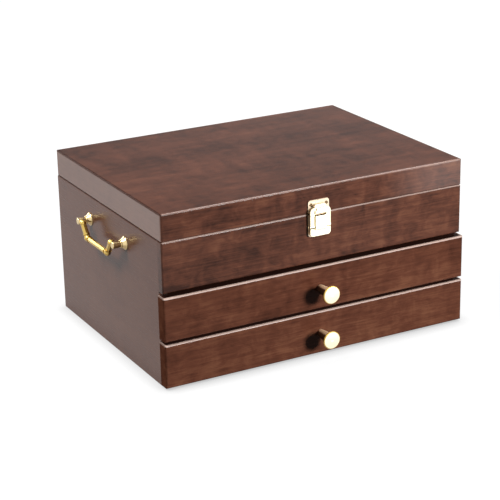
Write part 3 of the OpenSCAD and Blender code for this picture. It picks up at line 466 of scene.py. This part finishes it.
class Graph:
    """The nodes of one material or world."""

    def __init__(self, tree):
        self.tree = tree
        tree.nodes.clear()

    def node(self, kind, settings=None, inputs=None, output=0):
        """Adds a node, sets it up, fills its sockets and returns one of its outputs."""
        made = self.tree.nodes.new(kind)
        for key, value in (settings or {}).items():
            if key == "stops":
                ramp = made.color_ramp
                while len(ramp.elements) < len(value):
                    ramp.elements.new(0.5)
                for element, (position, tint) in zip(ramp.elements, value):
                    element.position = position
                    element.color = (*tint, 1.0)
            else:
                setattr(made, key, value)
        for key, value in (inputs or {}).items():
            socket = made.inputs[key]
            if isinstance(value, Field):
                self.tree.links.new(value.socket, socket)
            elif socket.type == "RGBA" and len(value) == 3:
                socket.default_value = (*value, 1.0)
            else:
                socket.default_value = value
        return Field(self, made.outputs[output])

    def place(self):
        """Place in the part's frame, in metres."""
        return self.node("ShaderNodeTexCoord", output="Object")

    def axes(self, vector, names="XYZ"):
        """A vector's parts along axes."""
        return [self.node("ShaderNodeSeparateXYZ", None, {"Vector": vector}, name) for name in names]

    def mix(self, factor, first, second):
        """A colour between two."""
        return self.node("ShaderNodeMix", {"data_type": "RGBA", "blend_type": "MIX"},
                         {0: factor, 6: first, 7: second}, 2)

    def noise(self, place, layer):
        """A layer of noise."""
        stretched = self.node("ShaderNodeVectorMath", {"operation": "MULTIPLY"}, {0: place, 1: layer.cells})
        return self.node("ShaderNodeTexNoise", None, {
            "Vector": stretched, "Scale": 1.0, "Detail": layer.detail, "Roughness": layer.roughness,
            "Distortion": layer.distortion})

    def open_air(self, reach):
        """1 in the open and less in corners, as far out of them as reach."""
        return self.node("ShaderNodeAmbientOcclusion", {"samples": OCCLUSION_SAMPLES},
                         {"Distance": reach}, "AO")

    def bump(self, height, distance, strength):
        """A normal from a height field."""
        return self.node("ShaderNodeBump", None, {
            "Height": height, "Distance": distance, "Strength": strength})

    def output(self, shader, kind="ShaderNodeOutputMaterial"):
        """Joins a shader to the surface."""
        end = self.tree.nodes.new(kind)
        self.tree.links.new(shader.socket, end.inputs["Surface"])


def material(name):
    """A new empty material and its graph."""
    made = bpy.data.materials.new(name)
    made.use_nodes = True
    return made, Graph(made.node_tree)


def settings():
    """The chest's settings in this scene."""
    return bpy.context.scene.chest


def dress(names, finish):
    """Gives CAD nodes a finish."""
    for name in names:
        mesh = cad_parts[name].data
        mesh.materials.clear()
        mesh.materials.append(finish)


def grain_place(g, along, start):
    """Place in the board with the grain along X, each board from its own part of the log."""
    place = g.place()
    turn = (0.0, 0.0, -math.pi / 2) if along == "Y" else (0.0, 0.0, 0.0)
    run = g.node("ShaderNodeMapping", None, {
        "Vector": place, "Location": tuple(start * slant for slant in LOG_SLANT), "Rotation": turn})
    return place, run


def shares(radius, span):
    """A mask's two ends, from shares of a radius."""
    return [radius * part for part in span]


def arris_mask(g, place, box, radius, reach, outer_radius):
    """How near four places on a board are, from 0 to 1.

    They are its upper front arris, its upper outer ones, its top behind them and its ends. The front arris
    reaches back over the top by a multiple of its radius.
    """
    low, high = box
    x, y, z = g.axes(place)
    inward = (x - low.x).least(high.x - x)
    back, below = y - low.y, high.z - z
    front = 1.0 - (back / reach).most(below).rise(*shares(radius, ARRIS_FADE))
    outer = 1.0 - inward.most(below).rise(*shares(outer_radius, ARRIS_FADE))
    top = (1.0 - below.rise(*shares(radius, TOP_DEPTH))) * (back / reach).rise(*shares(radius, TOP_BACK))
    end = 1.0 - inward.rise(*shares(radius, END_DEPTH))
    return front, outer, top, end


def stained_wood(node, board):
    """Dark stained wood under satin lacquer, with painted highlights along a board's upper edges.

    On boards other than the drawer fronts the outer arrises carry a painted shade line, dark and without
    gloss; the ends of the drawer fronts are bare end grain, and their tops behind the arris carry a painted
    shadow.
    """
    wood = settings().wood
    made, g = material(f"lacquered_{node}")
    place, run = grain_place(g, board.along, board.start)
    in_lid, on_drawer = node.startswith("lid_"), node.endswith("drawer_front")
    layers = {name: g.noise(run, layer) for name, layer in GRAIN.items()}
    cloud, line = layers["cloud"], layers["line"]
    pore = g.noise(run, PORES).rise(*PORE_RISE)
    grain = reduce(add, (layers[name].swing(layer.weight) for name, layer in GRAIN.items()))
    shade = grain * board.contrast + (MIDDLE_SHADE + board.tone)
    stain = g.node("ShaderNodeValToRGB", {"stops": (
        (DARK_SHADE, tuple(wood.dark)), (MIDDLE_SHADE, tuple(wood.middle)), (LIGHT_SHADE, tuple(wood.light)),
    )}, {"Fac": shade})
    stain = g.mix(pore * PORE_STAIN, stain, tuple(wood.dark))
    radius = wood.arris * (wood.mitre if in_lid else 1.0 if on_drawer else wood.rim)
    arris, outer, top, end = arris_mask(
        g, place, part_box(node), radius, wood.lip if on_drawer else 1.0,
        wood.arris * wood.rim if in_lid else radius)
    # Painted shadow on the tops of the drawer fronts, behind their arris
    if on_drawer:
        stain = g.mix(top, stain, tuple(wood.painted_shadow))
    # Painted highlight along the upper front arrises, and along the outer ones of the case and the drawer
    # fronts
    worn = arris * (wood.lid_highlight if in_lid else wood.drawer_highlight if on_drawer else wood.wear)
    if not in_lid:
        worn = worn.most(outer * (wood.end_highlight if on_drawer else wood.side_highlight))
    stain = g.mix(worn, stain, tuple(wood.worn))
    burnish = cloud.swing(BURNISH * board.contrast)
    if node in POLISHED:
        polish = POLISHED[node]
        along = g.axes(place, polish.axis)[0]
        burnish = burnish + along.rise(polish.begins, polish.full) * polish.weight
    roughness = (board.satin + line.swing(LINE_ROUGHNESS * board.contrast)
                 + pore * (PORE_ROUGHNESS * board.contrast) + outer * OUTER_ROUGHNESS)
    lacquered = g.node("ShaderNodeBsdfPrincipled", None, {
        "Base Color": stain,
        "Roughness": roughness,
        "IOR": wood.index,
        "Specular IOR Level": board.sheen,
        "Coat Weight": (arris * ARRIS_COAT).most(burnish),
        "Coat IOR": wood.edge_index,
        "Coat Roughness": wood.edge_roughness,
        "Normal": g.bump(line * LINE_HEIGHT - pore, wood.pore_depth, WOOD_BUMP * board.contrast),
    })
    # No gloss: bare end grain at the drawer fronts' ends, in their stain; on the other boards a painted shade
    # line along the outer arrises, in the dark stain
    bare = g.node("ShaderNodeBsdfPrincipled", None, {
        "Base Color": stain if on_drawer else tuple(wood.dark),
        "Roughness": BARE_ROUGHNESS,
        "Specular IOR Level": BARE_GLOSS,
    })
    g.output(g.node("ShaderNodeMixShader", None, {
        0: end if on_drawer else outer * OUTER_SHADE, 1: lacquered, 2: bare}))
    return made


def plain_wood(name, along, start):
    """Thinly stained wood without lacquer."""
    wood = settings().wood
    made, g = material(name)
    _, run = grain_place(g, along, start)
    figure, streak = g.noise(run, INNER_FIGURE), g.noise(run, INNER_STREAK)
    pore = g.noise(run, INNER_PORES).rise(*INNER_PORE_RISE)
    shade = figure.swing(INNER_FIGURE.weight) + streak.swing(INNER_STREAK.weight) + MIDDLE_SHADE
    stain = g.node("ShaderNodeValToRGB", {"stops": (
        (INNER_DARK_SHADE, tuple(wood.inner_dark)), (INNER_LIGHT_SHADE, tuple(wood.inner_light)),
    )}, {"Fac": shade})
    stain = g.mix(pore * INNER_PORE_STAIN, stain, tuple(wood.inner_dark))
    roughness = wood.inner_roughness + streak.swing(INNER_STREAK_ROUGHNESS) + pore * INNER_PORE_ROUGHNESS
    g.output(g.node("ShaderNodeBsdfPrincipled", None, {
        "Base Color": stain,
        "Roughness": roughness,
        "Normal": g.bump(streak * INNER_STREAK_HEIGHT - pore, wood.pore_depth, INNER_BUMP),
    }))
    return made


def turned_brass(name, tone, lines, roughness, metal=1.0, knob=None, tilt=FITTING_TILT, highlit=None):
    """Brass of one tone with faint clouding, fine polishing lines, and painted shade in corners and on
    undersides.

    A knob's box, if there is one, places its painted stem, lit above and shaded below, and its deeper painted
    shade rim instead of the corner and underside shade. Undersides are the faces whose normals point up less
    than tilt. What stands in front of highlit, a place along Y, is painted pale as a highlight.
    """
    brass = settings().brass
    made, g = material(name)
    place = g.place()
    x, depth, z = g.axes(place)
    upward = g.axes(g.node("ShaderNodeTexCoord", output="Normal"), "Z")[0]
    cloud, scratch = g.noise(place, BRASS_CLOUD), g.noise(place, lines)
    bright, deep = tuple(getattr(brass, tone)), tuple(getattr(brass, f"{tone}_deep"))
    tint = g.mix(cloud.rise(*CLOUD_RISE) * CLOUDING, bright, deep)
    # Painted highlight: what stands in front of highlit is pale
    if highlit is not None:
        tint = g.mix(depth.rise(highlit, highlit + HIGHLIT_EDGE), tuple(brass.pale), tint)
    if knob:
        low, high = knob
        face, radius = low.y + brass.knob_face, (high.x - low.x) / 2
        flat = g.node("ShaderNodeCombineXYZ", None, {"X": x, "Z": z})
        axis = ((low.x + high.x) / 2, 0.0, (low.z + high.z) / 2)
        away = g.node("ShaderNodeVectorMath", {"operation": "DISTANCE"}, {0: flat, 1: axis}, "Value")
        # Painted shade: a deeper ring round the face's rim
        rim = away.rise(radius - brass.knob_rim, radius - brass.knob_rim * RIM_FULL)
        tint = g.mix(rim, tint, tuple(brass.yellow_deep))
        # Painted highlight along the top of the stem and painted shade below it
        behind, crest = depth.rise(face - FACE_EDGE, face + FACE_EDGE), upward.rise(*CREST_RISE)
        tint = g.mix(behind, tint, g.mix(crest, tuple(brass.stem_shade), tuple(brass.stem)))
        metal = metal * (1.0 - behind * crest * CREST_LACQUER)
    else:
        # Painted shade in corners, between parts and on undersides
        corner = (1.0 - g.open_air(brass.corner)).rise(*CORNER_RISE) * CORNER_SHADE
        underside = (tilt - upward).rise(*UNDERSIDE_RISE) * UNDERSIDE_SHADE
        tint = g.mix(corner.most(underside), tint, tuple(brass.painted_shade))
    g.output(g.node("ShaderNodeBsdfPrincipled", None, {
        "Base Color": tint,
        "Metallic": metal,
        "Roughness": roughness + cloud.swing(CLOUD_ROUGHNESS) + scratch.swing(SCRATCH_ROUGHNESS),
        "Normal": g.bump(scratch, brass.scratch_depth, SCRATCH_BUMP),
    }))
    return made


def wool_felt(name):
    """Dense felt with a soft nap."""
    felt = settings().felt
    made, g = material(name)
    place = g.place()
    fibre, clump, brushed = (g.noise(place, layer) for layer in (FIBRE, CLUMP, BRUSHED))
    lie = fibre.rise(*FIBRE_RISE) * FIBRE.weight + clump.swing(CLUMP.weight) + brushed.swing(BRUSHED.weight)
    g.output(g.node("ShaderNodeBsdfPrincipled", None, {
        "Base Color": g.mix(lie, tuple(felt.pile), tuple(felt.fleck)),
        "Roughness": FELT_ROUGHNESS - clump * CLUMP_ROUGHNESS,
        "Sheen Weight": FELT_SHEEN,
        "Sheen Roughness": FELT_SHEEN_ROUGHNESS,
        "Specular IOR Level": FELT_GLOSS,
        "Normal": g.bump(fibre + clump * CLUMP_HEIGHT, PILE_DEPTH, FELT_BUMP),
    }))
    return made


def spread(low, high, rows, cell):
    """Places from low to high, close together at both ends."""
    inner = max(2, round((high - low - 2 * rows[-1]) / cell))
    middle = [low + rows[-1] + (high - low - 2 * rows[-1]) * i / inner for i in range(inner + 1)]
    return [low + step for step in rows[:-1]] + middle + [high - step for step in reversed(rows[:-1])]


def soft_slab(name, low, high, rows, cell, rise, face):
    """Closed slab between two corners.

    Its soft face is UP or DOWN, and rise gives that face's height from a place and its distance to the edge.
    """
    xs, ys = spread(low.x, high.x, rows, cell), spread(low.y, high.y, rows, cell)
    mesh = bpy.data.meshes.new(name)
    bm = bmesh.new()
    flat_z, turn = (low.z, 1.0) if face == "UP" else (high.z, -1.0)

    def vertex(i, j, soft):
        x, y = xs[i], ys[j]
        edge = min(x - low.x, high.x - x, y - low.y, high.y - y)
        return bm.verts.new((x, y, flat_z + turn * rise(x, y, edge) if soft else flat_z))

    soft, flat = {}, {}
    for i in range(len(xs)):
        for j in range(len(ys)):
            flat[i, j] = vertex(i, j, False)
            on_rim = i in (0, len(xs) - 1) or j in (0, len(ys) - 1)
            soft[i, j] = flat[i, j] if on_rim else vertex(i, j, True)
    for i in range(len(xs) - 1):
        for j in range(len(ys) - 1):
            corners = ((i, j), (i + 1, j), (i + 1, j + 1), (i, j + 1))
            bm.faces.new([soft[c] for c in corners])
            bm.faces.new([flat[c] for c in reversed(corners)])
    bmesh.ops.recalc_face_normals(bm, faces=bm.faces)
    for piece in bm.faces:
        piece.smooth = True
    bm.to_mesh(mesh)
    bm.free()
    made = bpy.data.objects.new(name, mesh)
    bpy.context.scene.collection.objects.link(made)
    return made


def quarter_round(edge, radius):
    """Height of a rounded edge of that radius, from 0 at the edge to radius."""
    inside = min(max(edge, 0.0), radius)
    return math.sqrt(max(0.0, radius * radius - (radius - inside) ** 2))


def hump(distance, width):
    """1 at no distance and falling away on both sides."""
    return math.exp(-((distance / width) ** 2))


class CHEST_OT_outer_boards(bpy.types.Operator):
    """Stain and lacquer the boards that show when the chest is shut"""

    bl_idname = "chest.outer_boards"
    bl_label = "Outer Boards"

    def execute(self, context):
        for node, board in OUTER_BOARDS.items():
            dress([node], stained_wood(node, board))
        return {"FINISHED"}


class CHEST_OT_inner_boards(bpy.types.Operator):
    """Stain the panels, drawer walls and dividers inside"""

    bl_idname = "chest.inner_boards"
    bl_label = "Inner Boards"

    def execute(self, context):
        dress(INNER_ALONG_X, plain_wood("inner_wood_across", "X", INNER_X_START))
        dress(INNER_ALONG_Y, plain_wood("inner_wood_deep", "Y", INNER_Y_START))
        return {"FINISHED"}


class CHEST_OT_racks(bpy.types.Operator):
    """Stain the flatware racks"""

    bl_idname = "chest.racks"
    bl_label = "Racks"

    def execute(self, context):
        dress(RACKS, plain_wood("rack_wood", "X", RACK_START))
        return {"FINISHED"}


class CHEST_OT_hardware(bpy.types.Operator):
    """Polish the knobs, handles, latch and hinges"""

    bl_idname = "chest.hardware"
    bl_label = "Hardware"

    def execute(self, context):
        brass = context.scene.chest.brass
        for drawer in DRAWERS:
            knob = f"{drawer}_knob"
            dress((knob, f"{knob}_screw"), turned_brass(
                f"{knob}_brass", "pale", EVEN_LINES, brass.satin, brass.knob_metal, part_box(knob)))
        dress(POSTS, turned_brass("post_brass", "gold", EVEN_LINES, brass.polish, tilt=HANDLE_TILT))
        dress(BAILS, turned_brass("bail_brass", "yellow", BAIL_LINES, brass.polish, tilt=HANDLE_TILT))
        dress(LATCH, turned_brass("latch_brass", "pale", UPRIGHT_LINES, brass.satin))
        # The plates' nose and ears carry a painted highlight
        nose_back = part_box("catch_plate")[0].y + brass.nose
        dress(LATCH_PLATES, turned_brass(
            "plate_brass", "cream", UPRIGHT_LINES, brass.satin, highlit=nose_back))
        dress(LATCH_SCREWS, turned_brass("screw_brass", "aged", EVEN_LINES, brass.satin))
        dress(HINGES, turned_brass("hinge_brass", "gold", LEVEL_LINES, brass.satin))
        return {"FINISHED"}


class CHEST_OT_felt(bpy.types.Operator):
    """Lay felt in the tray and the drawers"""

    bl_idname = "chest.felt"
    bl_label = "Felt"

    def execute(self, context):
        felt = context.scene.chest.felt
        finish = wool_felt("wool_felt")
        for node, body, floor in FELTS:
            low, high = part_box(node)
            thick = high.z - low.z - felt.nap

            def rise(x, y, edge):
                place = Vector((x * NAP_CELLS, y * NAP_CELLS, thick))
                nap = noise.fractal(place, *FRACTAL, NAP_OCTAVES) * felt.nap
                return thick - felt.roll + quarter_round(edge, felt.roll) + max(-felt.nap, min(felt.nap, nap))

            made = soft_slab(f"{node}_felt", low, high, FELT_ROWS, FELT_CELL, rise, "UP")
            made.data.materials.append(finish)
            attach(made, body)
            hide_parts(node)
        return {"FINISHED"}


class CHEST_OT_lid_pad(bpy.types.Operator):
    """Pad the underside of the lid"""

    bl_idname = "chest.lid_pad"
    bl_label = "Lid Pad"

    def execute(self, context):
        felt = context.scene.chest.felt
        low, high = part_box("lid_liner")
        body = high.z - low.z - felt.pad_crown - felt.pad_roll - felt.pad_billow
        half = min(high.x - low.x, high.y - low.y) / 2

        def rise(x, y, edge):
            swell = felt.pad_crown * math.sin(min(1.0, edge / (half * CROWN_REACH)) * math.pi / 2)
            off_seam = edge - felt.pad_border
            sewn = hump(off_seam, SEWN_WIDTH) * SEWN_DEPTH
            along = x if min(y - low.y, high.y - y) < min(x - low.x, high.x - x) else y
            sway = noise.noise(Vector((x * SWAY_CELLS, y * SWAY_CELLS, 0.0))) * SWAY
            fold = math.sin(along * math.tau / PUCKER_PITCH + sway)
            pucker = felt.pad_pucker * hump(off_seam, PUCKER_REACH) * fold
            place = Vector((x * BILLOW_CELLS, y * BILLOW_CELLS, BILLOW_LEVEL))
            filling = noise.fractal(place, *FRACTAL, BILLOW_OCTAVES)
            billow = felt.pad_billow * filling * min(1.0, edge / BILLOW_INSET)
            return body + quarter_round(edge, felt.pad_roll) + swell - sewn + pucker + billow

        rows = PAD_ROWS + tuple(felt.pad_border + step for step in SEWN_ROWS)
        made = soft_slab("lid_pad", low, high, rows, PAD_CELL, rise, "DOWN")
        made.data.materials.append(wool_felt("pad_felt"))
        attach(made, "lid")
        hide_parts("lid_liner")
        return {"FINISHED"}


def grey(level):
    """A neutral colour."""
    return (level,) * 3


def camera_sees(g):
    """1 for rays that show the stage to the camera, even in gloss, and 0 for rays that light the chest."""
    seen, glossy, through, scattered = (g.node("ShaderNodeLightPath", output=kind) for kind in (
        "Is Camera Ray", "Is Glossy Ray", "Is Transmission Ray", "Diffuse Depth"))
    return (seen.most(glossy).most(through) - scattered).most(0.0)


def floor_finish(stage):
    """Pale floor that the camera sees lifted to white, with the chest's shadow left on it."""
    made, g = material("pale_floor")
    plain = g.node("ShaderNodeBsdfDiffuse", None, {"Color": tuple(stage.floor)})
    faint = g.node("ShaderNodeBsdfDiffuse", None, {"Color": grey(stage.veil)})
    away = g.node("ShaderNodeVectorMath", {"operation": "LENGTH"}, {0: g.place()}, "Value").rise(*FLOOR_WHITE)
    near = g.mix(g.open_air(stage.contact_reach), grey(stage.glow * (1.0 - stage.contact)), grey(stage.glow))
    lift = g.node("ShaderNodeEmission", None, {"Color": g.mix(away, near, WHITE), "Strength": 1.0})
    shown = g.node("ShaderNodeAddShader", None, {0: faint, 1: lift})
    g.output(g.node("ShaderNodeMixShader", None, {0: camera_sees(g), 1: plain, 2: shown}))
    return made


def card_finish(stage):
    """Grey card, brightest at its right foot and black towards its head."""
    made, g = material("grey_card")
    across, height = g.axes(g.place(), "XZ")
    foot = g.mix(across.rise(*CARD_ACROSS), grey(stage.card_left), grey(stage.card))
    tint = g.mix(height.rise(*CARD_HEIGHT), foot, BLACK)
    g.output(g.node("ShaderNodeEmission", None, {"Color": tint, "Strength": 1.0}))
    return made


def studio_world(stage):
    """White surroundings that light the chest only faintly."""
    world = bpy.data.worlds.new("studio")
    world.use_nodes = True
    g = Graph(world.node_tree)
    strength = camera_sees(g) * (1.0 - stage.sky) + stage.sky
    g.output(g.node("ShaderNodeBackground", None, {"Color": WHITE, "Strength": strength}),
             "ShaderNodeOutputWorld")
    return world


def area_light(name, place, aim, side, watts):
    """A square soft box turned towards a place."""
    lamp = bpy.data.lights.new(name, "AREA")
    lamp.shape = "SQUARE"
    lamp.size = side
    lamp.energy = watts
    made = bpy.data.objects.new(name, lamp)
    made.location = place
    made.rotation_euler = (aim - place).to_track_quat("-Z", "Y").to_euler()
    bpy.context.scene.collection.objects.link(made)


def plane(name, corners, finish):
    """A flat piece of the stage."""
    mesh = bpy.data.meshes.new(name)
    mesh.from_pydata(corners, [], [tuple(range(len(corners)))])
    mesh.materials.append(finish)
    made = bpy.data.objects.new(name, mesh)
    bpy.context.scene.collection.objects.link(made)
    return made


def photo_camera(stage):
    """The camera, from its turn, height, roll, offsets and distance."""
    level = math.cos(stage.elevation)
    out = Vector((math.sin(stage.azimuth) * level, -math.cos(stage.azimuth) * level,
                  math.sin(stage.elevation)))
    right = Vector((0.0, 0.0, 1.0)).cross(out).normalized()
    up = out.cross(right)
    cos, sin = math.cos(stage.roll), math.sin(stage.roll)
    right, up = right * cos + up * sin, up * cos - right * sin
    lens = bpy.data.cameras.new("camera")
    lens.lens = stage.lens
    lens.sensor_width = SENSOR_WIDTH
    made = bpy.data.objects.new("camera", lens)
    made.matrix_world = Matrix.Translation(
        right * stage.across + up * stage.upward + out * stage.distance
    ) @ Matrix((right, up, out)).transposed().to_4x4()
    bpy.context.scene.collection.objects.link(made)
    return made


class CHEST_OT_stage(bpy.types.Operator):
    """Set the floor, the light and the camera"""

    bl_idname = "chest.stage"
    bl_label = "Stage"

    def execute(self, context):
        scene = context.scene
        stage = scene.chest.stage
        scene.view_settings.view_transform = "Standard"
        plane("floor", [(x * FLOOR_REACH, y * FLOOR_REACH, FLOOR_LEVEL)
                        for x, y in ((-1, -1), (1, -1), (1, 1), (-1, 1))], floor_finish(stage))
        scene.world = studio_world(stage)
        aim = Vector(LAMP_AIM)
        for name, (way, distance) in LAMPS.items():
            area_light(name, aim + Vector(way).normalized() * distance, aim,
                       getattr(stage, f"{name}_size"), getattr(stage, name))
        card = plane("back_card", CARD_CORNERS, card_finish(stage))
        card.visible_camera = card.visible_diffuse = card.visible_shadow = False
        scene.camera = photo_camera(stage)
        return {"FINISHED"}


OPERATORS = (CHEST_OT_stage, CHEST_OT_outer_boards, CHEST_OT_inner_boards, CHEST_OT_racks, CHEST_OT_hardware,
             CHEST_OT_felt, CHEST_OT_lid_pad)


class CHEST_PT_sidebar(bpy.types.Panel):
    """The chest's finishes and pieces"""

    bl_idname = "CHEST_PT_sidebar"
    bl_label = "Silverware Chest"
    bl_space_type = "VIEW_3D"
    bl_region_type = "UI"
    bl_category = "Chest"

    def draw(self, context):
        for operator in OPERATORS:
            self.layout.operator(operator.bl_idname)
        for group in ("wood", "brass", "felt", "stage"):
            holder = getattr(context.scene.chest, group)
            box = self.layout.box()
            box.label(text=group.title())
            for name in holder.__annotations__:
                box.prop(holder, name)


CLASSES = (WoodSettings, BrassSettings, FeltSettings, StageSettings, ChestSettings, *OPERATORS,
           CHEST_PT_sidebar)


def register():
    for cls in CLASSES:
        bpy.utils.register_class(cls)
    bpy.types.Scene.chest = PointerProperty(type=ChestSettings)


def unregister():
    del bpy.types.Scene.chest
    for cls in reversed(CLASSES):
        bpy.utils.unregister_class(cls)


def main():
    register()
    bpy.ops.chest.stage()
    bpy.ops.chest.outer_boards()
    bpy.ops.chest.inner_boards()
    bpy.ops.chest.racks()
    bpy.ops.chest.hardware()
    bpy.ops.chest.felt()
    bpy.ops.chest.lid_pad()


if __name__ == "__main__":
    main()
